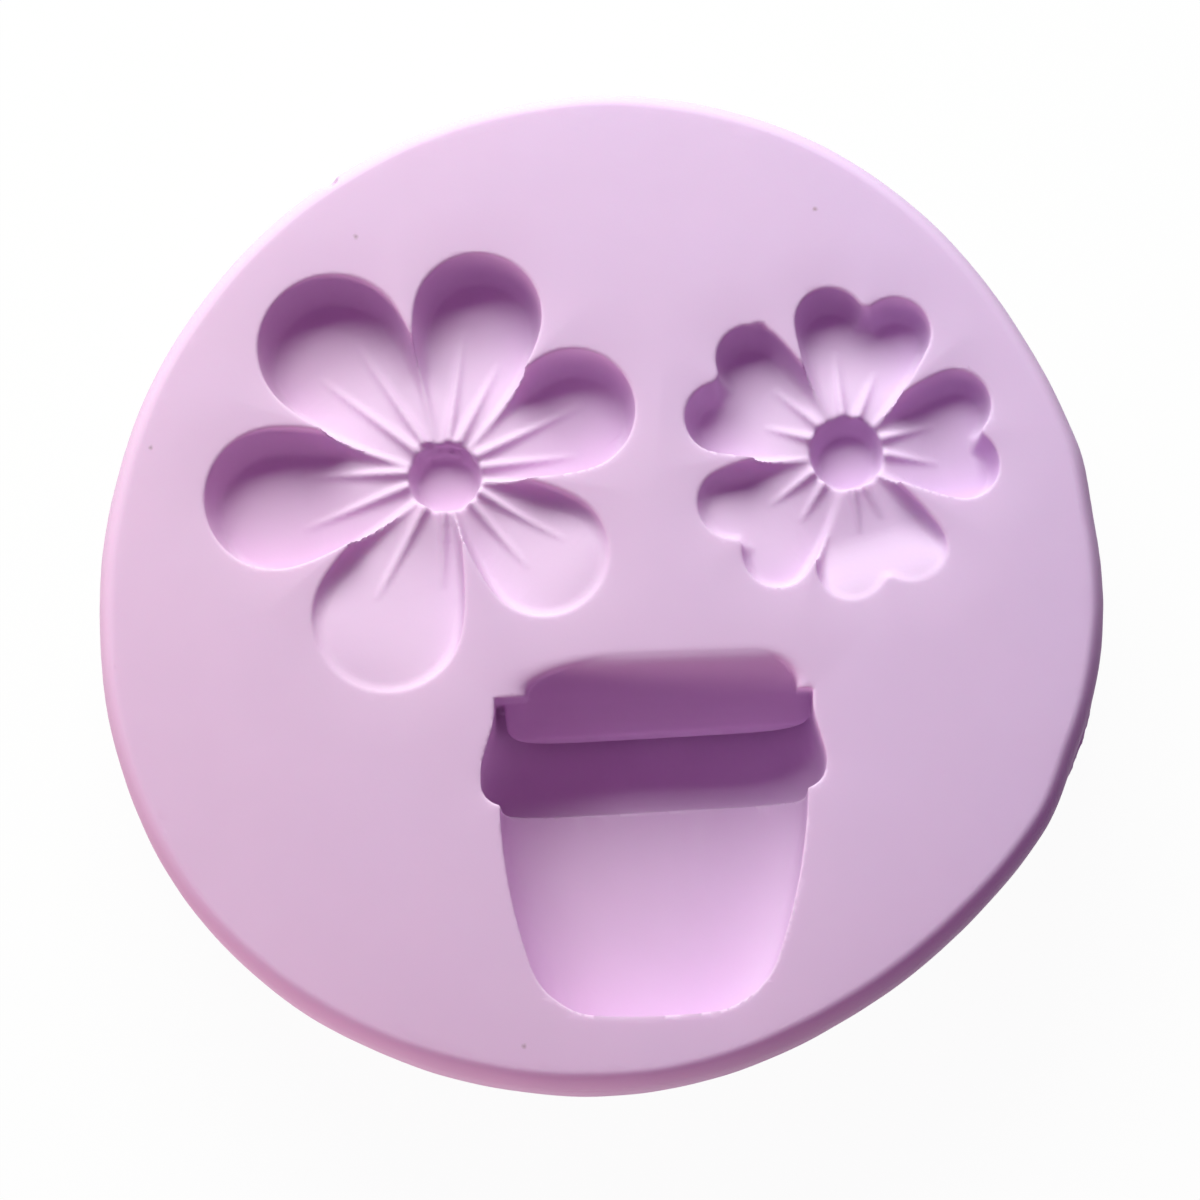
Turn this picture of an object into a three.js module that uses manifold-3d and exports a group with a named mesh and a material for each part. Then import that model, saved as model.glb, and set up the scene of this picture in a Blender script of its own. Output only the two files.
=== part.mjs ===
// Push mould for sugar paste: one lump of silicone with three recesses pressed into its face.
// Millimetres. The origin is the centre of the base, +Z points out of the face,
// and +Y runs from the flower pot towards the flowers.
import * as THREE from "three";
import { mergeVertices } from "three/addons/utils/BufferGeometryUtils.js";
import Module from "manifold-3d";

// Lump: silicone left under the deepest recess, and round the recess nearest the outside
const FLOOR_UNDER_POT = 6;
const EDGE_WALL = 3.56;
// The face is crowned, so that it falls away a little towards its edge
const CROWN = 0.7;
const CROWN_FULLNESS = 0.85;
// Rounded edges; the one at the face falls further on one side
const FACE_EDGE_INWARD = 1.5;
const FACE_EDGE_DOWN = 2.4;
const FACE_EDGE_DOWN_MORE = 0.6;
const FACE_EDGE_TOWARDS = -65;
const BASE_EDGE_INWARD = 1.6;
const BASE_EDGE_UP = 4;
// Pressing by hand leaves the outline a little out of round: how often it swells, how much and where
const OUTLINE_WAVES = [
  { count: 1, swell: 0.54, towards: -84 },
  { count: 2, swell: 0.37, towards: 38.5 },
  { count: 3, swell: 0.34, towards: -17.5 },
  { count: 4, swell: 0.145, towards: -16 },
  { count: 5, swell: 0.145, towards: -7.5 },
];
// Ledge of silicone squeezed out along the base on one side, under a step in the wall
const LEDGE_REACH = 0.1;
const LEDGE_STEP = 0.45;
const LEDGE_RADIUS = 22;
const LEDGE_HEIGHT = 3.4;
const LEDGE_EDGE = 0.5;
const LEDGE_TOWARDS = -10;
const LEDGE_HALF_TURN = 28;
const LEDGE_FULL_SHARE = 0.55;

// Petals have flat floors and steep walls. Those nearest the pot dip: the neck and the tip of such a
// floor are shallower, given as shares of its depth, and its wall runs further in.
const WALL_RUN = 0.9;
const HEART_WALL_RUN = 0.8;
const DIP_AT = 0.62;
const SIDE_FULLNESS = 0.7;
const RIM_OVERLAP = 0.1;

// Six-petalled flower, with the direction and length of each petal's pair of veins
const DAISY = { x: -9.4, y: 6.3, neckWidth: 2.2, eyeWidth: 4.6, eyeDepth: 1.9, run: WALL_RUN };
const DAISY_PETALS = [
  { towards: 78, reach: 13.6, width: 7.8, depth: 3.3, veins: [[83, 9.4], [65, 8]] },
  { towards: 132, reach: 14.7, width: 9.1, depth: 3.2, veins: [[123, 10.4], [141, 10]] },
  { towards: 190, reach: 14.6, width: 8.7, depth: 3, veins: [[180, 8.6], [201, 9.2]] },
  {
    towards: 250, reach: 14.3, width: 9.1, depth: 1.8, neck: 0.3, tip: 0.3, run: 1.6,
    veins: [[243, 9], [270, 7.2]],
  },
  {
    towards: 320, reach: 11.9, width: 7.8, depth: 1.9, neck: 0.6, tip: 0.3, run: 2,
    veins: [[330, 8.6], [311, 8]],
  },
  { towards: 25, reach: 12.4, width: 7.5, depth: 2.7, veins: [[28, 9.6], [9, 8.2]] },
];

// Five-petalled flower, whose petals end in two lobes with a notch between them
const BLOSSOM = { x: 15, y: 7.7, neckWidth: 2, eyeWidth: 4.6, eyeDepth: 1.8, run: HEART_WALL_RUN };
const LOBE_WIDTH = 4.3;
const LOBE_SPREAD = 30;
const NOTCH = 1.15;
const PETAL_MIDDLE_WIDTH = 5;
const BLOSSOM_PETALS = [
  { towards: 82, reach: 9.9, depth: 2.3, veins: [[95, 6.4], [69, 5.4]] },
  { towards: 152, reach: 10, depth: 2.3, veins: [[138, 5.9], [163, 5.2]] },
  { towards: 222, reach: 9.9, depth: 2, neck: 0.8, tip: 0.6, run: 1.1, veins: [[216, 5.8], [238, 5.3]] },
  { towards: 287, reach: 9.5, depth: 1.7, neck: 0.4, tip: 0.35, run: 1.4, veins: [[279, 5.3], [297, 4.8]] },
  { towards: 7, reach: 9.3, depth: 2.3, veins: [[17, 5.8], [353, 5.8]] },
];

// Veins: fine ribs that stand on the floor of each petal and fade out along it
const VEIN_WIDTH = 0.8;
const VEIN_HEIGHT = 0.5;
const VEIN_SINK = 0.05;

// Flower pot lying on its side, mouth towards the flowers, with a section squarer than an ellipse
const POT_X = 3.3;
const POT_MOUTH_Y = -7.47;
const POT_LENGTH = 19.3;
const POT_DEPTH = 7;
const POT_BODY_DEPTH = 6.2;
const POT_SKEW = 2;
const POT_SQUARENESS = 3;
const POT_MOUTH_WIDTH = 19.3;
const POT_LIP = 0.8;
const POT_RIM_WIDTH = 20.9;
const POT_RIM_LENGTH = 6.3;
const POT_RIM_CORNER = 1.7;
const POT_RIM_TILT = 1.3;
const POT_BODY_WIDTH = 18.6;
const POT_FOOT_WIDTH = 12.3;
const POT_FOOT_CORNER = 2.6;
const POT_BELLY = 0.7;
// Tongue that stands in the mouth and casts its hollow; the slot left beside it casts the pot's own wall
const TONGUE_WIDTH = 18.7;
const TONGUE_ASIDE = 0.35;
const TONGUE_LENGTH = 1.8;
const TONGUE_DEPTH = 3.8;
const TONGUE_CORNER = 0.8;
// Chute above the tongue, open at the face, with a wider round corner on the left than on the right
const CHUTE_SETBACK = 2.1;
const CHUTE_WIDTH = 16.2;
const CHUTE_ASIDE = 0.5;
const CHUTE_LEFT_CORNER = 6.5;
const CHUTE_RIGHT_CORNER = 2.6;
const CHUTE_CORNER_RISE = 1.9;
const CHUTE_PAST_MOUTH = 1;

// Fineness of the curves, and how far the cutting tools stand above the face
const LUMP_SIDES = 80;
const PETAL_SIDES = 32;
const HEART_SIDES = 44;
const WALL_STEPS = 2;
const EYE_SIDES = 20;
const POT_SIDES = 48;
const VEIN_SIDES = 6;
const VEIN_STEPS = 4;
const ARC_STEPS = 3;
const HALVINGS = 30;
const FLOOR_SHARE = 0.7;
const CLEAR = 1;
const WELD = 1e-4;

const SILICONE = new THREE.MeshStandardMaterial({ color: 0xddbedf, roughness: 0.6, metalness: 0 });

const wasm = await Module();
wasm.setup();

const { clamp, degToRad: radians, smoothstep } = THREE.MathUtils;
const thickness = POT_DEPTH + FLOOR_UNDER_POT;

// Closed solid for cutting and joining, put in place by a matrix
function solid(geometry, place = new THREE.Matrix4()) {
  const bare = geometry.clone().applyMatrix4(place);
  bare.deleteAttribute("normal");
  bare.deleteAttribute("uv");
  const welded = mergeVertices(bare, WELD);
  const triangles = [];
  for (let i = 0; i < welded.index.count; i += 3) {
    const corners = [0, 1, 2].map((k) => welded.index.getX(i + k));
    if (new Set(corners).size === 3) {
      triangles.push(...corners);
    }
  }
  return new wasm.Manifold(new wasm.Mesh({
    numProp: 3,
    vertProperties: new Float32Array(welded.attributes.position.array),
    triVerts: new Uint32Array(triangles),
  }));
}

// Body of revolution about Y from a profile that runs upwards from axis to axis
function turned(profile, sides, steps = ARC_STEPS) {
  return new THREE.LatheGeometry(profile.getPoints(steps), sides);
}

// Moves every corner of a geometry by a rule
function reshape(geometry, rule) {
  const at = geometry.attributes.position;
  const corner = new THREE.Vector3();
  for (let i = 0; i < at.count; i += 1) {
    corner.fromBufferAttribute(at, i);
    rule(corner);
    at.setXYZ(i, corner.x, corner.y, corner.z);
  }
  return geometry;
}

function spotOnFace(x, y, towards = 90) {
  const place = new THREE.Matrix4().makeTranslation(x, y, thickness);
  return place.multiply(new THREE.Matrix4().makeRotationZ(radians(towards - 90)));
}

// Crowned disc with a flat base and rounded edges, standing on the ground
function puck(radius) {
  const edge = thickness - CROWN;
  const profile = new THREE.Path();
  profile.moveTo(0, 0);
  const low = radius - BASE_EDGE_INWARD;
  profile.lineTo(low, 0);
  profile.absellipse(low, BASE_EDGE_UP, BASE_EDGE_INWARD, BASE_EDGE_UP, -Math.PI / 2, 0);
  const inner = radius - FACE_EDGE_INWARD;
  profile.absellipse(inner, edge - FACE_EDGE_DOWN, FACE_EDGE_INWARD, FACE_EDGE_DOWN, 0, Math.PI / 2);
  profile.quadraticCurveTo(CROWN_FULLNESS * inner, thickness, 0, thickness);
  return reshape(turned(profile, LUMP_SIDES).rotateX(Math.PI / 2), (corner) => {
    const angle = Math.atan2(corner.y, corner.x);
    if (corner.z > BASE_EDGE_UP && corner.z < edge) {
      const more = FACE_EDGE_DOWN_MORE * Math.cos(angle - radians(FACE_EDGE_TOWARDS));
      corner.z = edge - (edge - corner.z) * (1 + more / FACE_EDGE_DOWN);
    }
    const turn = Math.acos(Math.cos(angle - radians(LEDGE_TOWARDS)));
    const near = 1 - smoothstep(turn / radians(LEDGE_HALF_TURN), LEDGE_FULL_SHARE, 1);
    const stretch = 1 - LEDGE_STEP * near / radius;
    corner.x *= stretch;
    corner.y *= stretch;
  });
}

// Low disc that shows beyond the puck on one side only
function ledge(radius) {
  const profile = new THREE.Path();
  profile.moveTo(0, 0);
  profile.lineTo(LEDGE_RADIUS, 0);
  profile.absarc(LEDGE_RADIUS - LEDGE_EDGE, LEDGE_HEIGHT - LEDGE_EDGE, LEDGE_EDGE, 0, Math.PI / 2);
  profile.lineTo(0, LEDGE_HEIGHT);
  const out = radius + LEDGE_REACH - LEDGE_RADIUS;
  const angle = radians(LEDGE_TOWARDS);
  const disc = turned(profile, LUMP_SIDES).rotateX(Math.PI / 2);
  return disc.translate(out * Math.cos(angle), out * Math.sin(angle), 0);
}

// Swells the outline in and out of round without lifting anything
function waveOutline(geometry, radius) {
  return reshape(geometry, (corner) => {
    const angle = Math.atan2(corner.y, corner.x);
    let swell = 0;
    for (const wave of OUTLINE_WAVES) {
      swell += wave.swell * Math.cos(wave.count * (angle - radians(wave.towards)));
    }
    corner.x *= 1 + swell / radius;
    corner.y *= 1 + swell / radius;
  });
}

// How far a place lies outside a petal's outline, below nought inside it. The petal points along +Y.
// Each side is a quadratic curve from the neck to where the petal is widest; a half circle ends it.
function petalPlan(x, y, { reach, width, neckWidth, neckAt }) {
  const widest = reach - width / 2;
  const along = clamp((y - neckAt) / (widest - neckAt), 0, 1);
  const ease = Math.sqrt(SIDE_FULLNESS ** 2 + (1 - 2 * SIDE_FULLNESS) * along);
  const left = 1 - (SIDE_FULLNESS - ease) / (2 * SIDE_FULLNESS - 1);
  const breadth = width / 2 - (width - neckWidth) / 2 * left ** 2;
  return Math.max(Math.hypot(Math.max(y - widest, 0), x) - breadth, neckAt - y);
}

// The same for a petal with two lobes, one on each side of a narrower middle
function heartPlan(x, y, petal) {
  const middle = { ...petal, reach: petal.reach - NOTCH, width: PETAL_MIDDLE_WIDTH };
  const lobe = { ...petal, width: LOBE_WIDTH };
  const aside = [1, -1].map((side) => {
    const spot = new THREE.Vector2(x, y).rotateAround(new THREE.Vector2(), radians(side * LOBE_SPREAD / 2));
    return petalPlan(spot.x, spot.y, lobe);
  });
  return Math.min(petalPlan(x, y, middle), ...aside);
}

// Depth of a petal's floor, by how far it is from the flower's middle
function floorDepth(y, { reach, depth, neckAt, neck = 1, tip = 1 }) {
  const dip = DIP_AT * reach;
  const sunk = neck + (1 - neck) * smoothstep(y, neckAt, dip);
  return depth * (sunk - (1 - tip) * clamp((y - dip) / (reach - dip), 0, 1));
}

// Bowl one unit wide and deep, with a flat floor and a round wall, that stands above the face
function bowl(sides) {
  const profile = new THREE.Path();
  profile.moveTo(0, -1);
  profile.lineTo(FLOOR_SHARE / 2, -1);
  profile.lineTo(FLOOR_SHARE, -1);
  profile.absellipse(FLOOR_SHARE, 0, 1 - FLOOR_SHARE, 1, -Math.PI / 2, 0);
  profile.lineTo(1, 1);
  profile.lineTo(0, 1);
  return turned(profile, sides, WALL_STEPS).rotateX(Math.PI / 2);
}

// Petal-shaped tool: a bowl, each ring of which is stretched to follow the petal's outline
function petalTool(petal, plan, sides) {
  const middle = DIP_AT * petal.reach;
  return reshape(bowl(sides), (corner) => {
    const ring = Math.hypot(corner.x, corner.y);
    const aim = new THREE.Vector2(corner.x, corner.y).divideScalar(ring || 1);
    const inset = petal.run * clamp((1 - ring) / (1 - FLOOR_SHARE), 0, 1);
    let inside = 0;
    let outside = petal.reach;
    for (let i = 0; i < HALVINGS; i += 1) {
      const half = (inside + outside) / 2;
      if (plan(aim.x * half, middle + aim.y * half, petal) < -inset) {
        inside = half;
      } else {
        outside = half;
      }
    }
    const out = inside * Math.min(ring / FLOOR_SHARE, 1);
    corner.x = aim.x * out;
    corner.y = middle + aim.y * out;
    corner.z = corner.z > 0 ? CLEAR : corner.z * floorDepth(corner.y, petal);
  });
}

// Rib along a petal's floor, thick at the neck and thin at the far end
function veinTool(petal, towards, reach) {
  const profile = new THREE.Path();
  profile.moveTo(0, petal.neckAt);
  for (let step = 0; step < VEIN_STEPS; step += 1) {
    const along = step / VEIN_STEPS;
    profile.lineTo(VEIN_WIDTH / 2 * (1 - along), petal.neckAt + (reach - petal.neckAt) * along);
  }
  profile.lineTo(0, reach);
  const rib = turned(profile, VEIN_SIDES);
  rib.scale(1, 1, VEIN_HEIGHT / (VEIN_WIDTH / 2));
  rib.rotateZ(radians(towards - petal.towards));
  return reshape(rib, (corner) => {
    corner.z -= floorDepth(corner.y, petal) + VEIN_SINK;
  });
}

// Flower-shaped tool: a round eye with petals about it, their veins left standing
function flower(sizes, petals, plan, sides) {
  const eye = bowl(EYE_SIDES).scale(sizes.eyeWidth / 2, sizes.eyeWidth / 2, sizes.eyeDepth);
  let tool = solid(eye, spotOnFace(sizes.x, sizes.y));
  const neckAt = sizes.eyeWidth / 2 - RIM_OVERLAP;
  for (const shape of petals) {
    const petal = { run: sizes.run, ...shape, neckWidth: sizes.neckWidth, neckAt };
    const place = spotOnFace(sizes.x, sizes.y, petal.towards);
    let hollow = solid(petalTool(petal, plan, sides), place);
    for (const [towards, reach] of petal.veins) {
      hollow = hollow.subtract(solid(veinTool(petal, towards, reach), place));
    }
    tool = tool.add(hollow);
  }
  return tool;
}

// Side of the pot from its foot up to its mouth, with corners as round as wanted
function potSide(path, footCorner, rimCorner) {
  const mouth = POT_MOUTH_WIDTH / 2;
  const rim = POT_RIM_WIDTH / 2;
  const body = POT_BODY_WIDTH / 2;
  const foot = POT_FOOT_WIDTH / 2;
  const taper = (body - foot) / (POT_LENGTH - POT_RIM_LENGTH);
  const cornerTop = foot + taper * footCorner;
  path.lineTo(foot - footCorner, -POT_LENGTH);
  path.quadraticCurveTo(foot, -POT_LENGTH, cornerTop, footCorner - POT_LENGTH);
  const halfway = (footCorner - POT_LENGTH - POT_RIM_LENGTH) / 2;
  path.quadraticCurveTo((cornerTop + body) / 2 + 2 * POT_BELLY, halfway, body, -POT_RIM_LENGTH);
  path.quadraticCurveTo(rim, -POT_RIM_LENGTH, rim, rimCorner - POT_RIM_LENGTH);
  const swell = -(POT_LIP + POT_RIM_LENGTH - POT_RIM_CORNER) / 2;
  path.lineTo(rim, POT_RIM_CORNER - POT_RIM_LENGTH);
  path.bezierCurveTo(rim, swell, mouth, swell, mouth, -POT_LIP);
  path.lineTo(mouth, 0);
  return path;
}

// Turns a round section into the pot's squarer one, as deep as a rule gives for a ring's place and radius
function squareSection(geometry, depthAt) {
  return reshape(geometry, (corner) => {
    const round = Math.hypot(corner.x, corner.z);
    const across = Math.abs(corner.x) ** POT_SQUARENESS + Math.abs(corner.z) ** POT_SQUARENESS;
    const stretch = round / (across ** (1 / POT_SQUARENESS) || 1);
    corner.x *= stretch;
    corner.z *= stretch * depthAt(corner.y, round) / (round || 1);
  });
}

// The pot's floor is level, and steps down where the body meets the wider rim
function potFloor(y, round) {
  const inRim = y > WELD - POT_RIM_LENGTH || round > POT_BODY_WIDTH / 2 + WELD;
  return inRim ? POT_DEPTH : POT_BODY_DEPTH;
}

// The rim's far border isn't quite square to the pot
function tiltRim(geometry) {
  return reshape(geometry, (corner) => {
    if (corner.y >= -POT_RIM_LENGTH - WELD && corner.y <= POT_RIM_CORNER - POT_RIM_LENGTH + WELD) {
      corner.y += corner.x * Math.tan(radians(POT_RIM_TILT));
    }
  });
}

// Pot recess, with its tongue left standing in the mouth and the chute cleared above the tongue
function pot() {
  const skew = new THREE.Matrix4().makeShear(Math.tan(radians(POT_SKEW)), 0, 0, 0, 0, 0);
  const place = spotOnFace(POT_X, POT_MOUTH_Y).multiply(skew);

  const wall = new THREE.Path();
  wall.moveTo(0, -POT_LENGTH);
  potSide(wall, 0, 0).lineTo(0, 0);
  const jar = tiltRim(squareSection(turned(wall, POT_SIDES), potFloor));

  const side = potSide(new THREE.Path([new THREE.Vector2(0, -POT_LENGTH)]), POT_FOOT_CORNER, POT_RIM_CORNER);
  const right = side.getPoints(ARC_STEPS).slice(1);
  const left = right.map((spot) => new THREE.Vector2(-spot.x, spot.y)).reverse();
  const plan = new THREE.Shape([...right, ...left]);
  const shaft = new THREE.ExtrudeGeometry(plan, { depth: 4 * POT_DEPTH, bevelEnabled: false });
  const hollow = solid(jar, place).intersect(solid(tiltRim(shaft.translate(0, 0, -2 * POT_DEPTH)), place));

  const tip = TONGUE_WIDTH / 2;
  const plug = new THREE.Path();
  plug.moveTo(0, -TONGUE_LENGTH);
  plug.lineTo(tip - TONGUE_CORNER, -TONGUE_LENGTH);
  plug.quadraticCurveTo(tip, -TONGUE_LENGTH, tip, TONGUE_CORNER - TONGUE_LENGTH);
  plug.lineTo(tip, CHUTE_SETBACK);
  plug.lineTo(0, CHUTE_SETBACK);
  const core = squareSection(turned(plug, POT_SIDES), (y, round) => round * POT_DEPTH / (POT_RIM_WIDTH / 2));

  const slope = tongueSlope(place);
  const tongue = solid(core.translate(TONGUE_ASIDE, 0, 0), place).subtract(slope);
  const chute = solid(chutePlan(), place).intersect(slope);
  return hollow.subtract(tongue).add(chute);
}

// Everything above the slope of the tongue, which runs down from behind the mouth to the tongue's tip
function tongueSlope(place) {
  const fall = TONGUE_DEPTH / (CHUTE_SETBACK + TONGUE_LENGTH);
  const past = TONGUE_LENGTH + TONGUE_CORNER;
  const side = new THREE.Shape();
  side.moveTo(CHUTE_SETBACK, 0);
  side.lineTo(CHUTE_SETBACK, POT_DEPTH);
  side.lineTo(-past, POT_DEPTH);
  side.lineTo(-past, -fall * (CHUTE_SETBACK + past));
  const wide = POT_RIM_WIDTH + 2 * CLEAR;
  const wedge = new THREE.ExtrudeGeometry(side, { depth: wide, bevelEnabled: false });
  wedge.translate(0, 0, -wide / 2);
  const axes = [new THREE.Vector3(0, 1, 0), new THREE.Vector3(0, 0, 1), new THREE.Vector3(1, 0, 0)];
  wedge.applyMatrix4(new THREE.Matrix4().makeBasis(...axes));
  return solid(wedge, place);
}

// Arched outline that the chute leaves in the face, from just inside the mouth to behind it
function chutePlan() {
  const half = CHUTE_WIDTH / 2;
  const low = CHUTE_SETBACK - CHUTE_CORNER_RISE;
  const plan = new THREE.Shape();
  plan.moveTo(-half, -CHUTE_PAST_MOUTH);
  plan.lineTo(half, -CHUTE_PAST_MOUTH);
  plan.absellipse(half - CHUTE_RIGHT_CORNER, low, CHUTE_RIGHT_CORNER, CHUTE_CORNER_RISE, 0, Math.PI / 2);
  plan.absellipse(CHUTE_LEFT_CORNER - half, low, CHUTE_LEFT_CORNER, CHUTE_CORNER_RISE, Math.PI / 2, Math.PI);
  const shaft = new THREE.ExtrudeGeometry(plan, {
    depth: 2 * TONGUE_DEPTH,
    bevelEnabled: false,
    curveSegments: ARC_STEPS,
  });
  return shaft.translate(CHUTE_ASIDE, 0, -TONGUE_DEPTH);
}

// The lump is as wide as its recesses need, with a wall round the one that reaches furthest out
function lumpRadius() {
  const tips = [new THREE.Vector2(POT_X, POT_MOUTH_Y - POT_LENGTH)];
  for (const [sizes, petals] of [[DAISY, DAISY_PETALS], [BLOSSOM, BLOSSOM_PETALS]]) {
    for (const { towards, reach } of petals) {
      const tip = new THREE.Vector2(reach, 0).rotateAround(new THREE.Vector2(), radians(towards));
      tips.push(tip.add(new THREE.Vector2(sizes.x, sizes.y)));
    }
  }
  return Math.max(...tips.map((tip) => tip.length())) + EDGE_WALL;
}

function lump() {
  const radius = lumpRadius();
  return solid(waveOutline(puck(radius), radius)).add(solid(waveOutline(ledge(radius), radius)));
}

// Named mesh from a finished solid
function piece(name, shape, material) {
  const cut = shape.getMesh();
  const geometry = new THREE.BufferGeometry();
  geometry.setAttribute("position", new THREE.BufferAttribute(new Float32Array(cut.vertProperties), 3));
  geometry.setIndex(Array.from(cut.triVerts));
  geometry.computeVertexNormals();
  const mesh = new THREE.Mesh(geometry, material);
  mesh.name = name;
  return mesh;
}

const daisy = flower(DAISY, DAISY_PETALS, petalPlan, PETAL_SIDES);
const blossom = flower(BLOSSOM, BLOSSOM_PETALS, heartPlan, HEART_SIDES);
const mould = new THREE.Group();
mould.name = "silicone_mould";
const casting = lump().subtract(daisy).subtract(blossom).subtract(pot());
mould.add(piece("mould_body", casting, SILICONE));

export default mould;
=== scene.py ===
"""Dresses a silicone push mould: one lilac casting with two flowers and a flower pot sunk in its face."""

import logging
import math
from dataclasses import dataclass, field
from enum import Enum
from typing import Any, Callable, Optional, Sequence, Union

import bpy
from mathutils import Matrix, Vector


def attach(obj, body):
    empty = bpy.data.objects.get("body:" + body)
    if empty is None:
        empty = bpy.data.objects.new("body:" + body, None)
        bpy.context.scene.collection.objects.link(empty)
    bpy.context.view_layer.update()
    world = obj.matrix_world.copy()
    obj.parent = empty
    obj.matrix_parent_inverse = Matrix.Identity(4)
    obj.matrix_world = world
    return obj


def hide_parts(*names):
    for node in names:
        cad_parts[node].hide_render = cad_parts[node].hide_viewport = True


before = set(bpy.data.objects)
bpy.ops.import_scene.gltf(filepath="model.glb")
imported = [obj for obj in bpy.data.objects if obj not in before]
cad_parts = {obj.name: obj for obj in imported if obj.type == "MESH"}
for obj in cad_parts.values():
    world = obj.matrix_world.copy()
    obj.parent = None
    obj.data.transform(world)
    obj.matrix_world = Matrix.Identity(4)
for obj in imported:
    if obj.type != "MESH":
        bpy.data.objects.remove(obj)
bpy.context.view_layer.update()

MM = 0.001
PER_MM = (1 / MM, 1 / MM, 1 / MM)
Term = Union["Wire", float, Sequence[float], Any]
Colour = tuple[float, float, float]

logging.basicConfig(level=logging.INFO, format="%(message)s")
log = logging.getLogger("mould")


class Wire:
    """One output socket of a node tree, written as a number in Python expressions."""

    def __init__(self, tree: "Tree", socket: bpy.types.NodeSocket) -> None:
        """Keeps the tree that new nodes go to, and the socket."""
        self.tree = tree
        self.socket = socket

    def __add__(self, other: Term) -> "Wire":
        """Sum with a number or another wire."""
        return self.tree.math("ADD", self, other)

    def __radd__(self, other: Term) -> "Wire":
        """Sum, with the number first."""
        return self.tree.math("ADD", other, self)

    def __sub__(self, other: Term) -> "Wire":
        """Difference."""
        return self.tree.math("SUBTRACT", self, other)

    def __rsub__(self, other: Term) -> "Wire":
        """Difference, with the number first."""
        return self.tree.math("SUBTRACT", other, self)

    def __mul__(self, other: Term) -> "Wire":
        """Product."""
        return self.tree.math("MULTIPLY", self, other)

    def __rmul__(self, other: Term) -> "Wire":
        """Product, with the number first."""
        return self.tree.math("MULTIPLY", other, self)

    def __truediv__(self, other: Term) -> "Wire":
        """Quotient."""
        return self.tree.math("DIVIDE", self, other)

    def __rtruediv__(self, other: Term) -> "Wire":
        """Quotient, with the number first."""
        return self.tree.math("DIVIDE", other, self)

    def __pow__(self, other: Term) -> "Wire":
        """Power."""
        return self.tree.math("POWER", self, other)

    def __neg__(self) -> "Wire":
        """Opposite."""
        return self.tree.math("MULTIPLY", self, -1.0)

    def __abs__(self) -> "Wire":
        """Size without sign."""
        return self.tree.math("ABSOLUTE", self)

    def beside(self, output: str) -> "Wire":
        """Another output of the same node."""
        return Wire(self.tree, self.socket.node.outputs[output])


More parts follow.
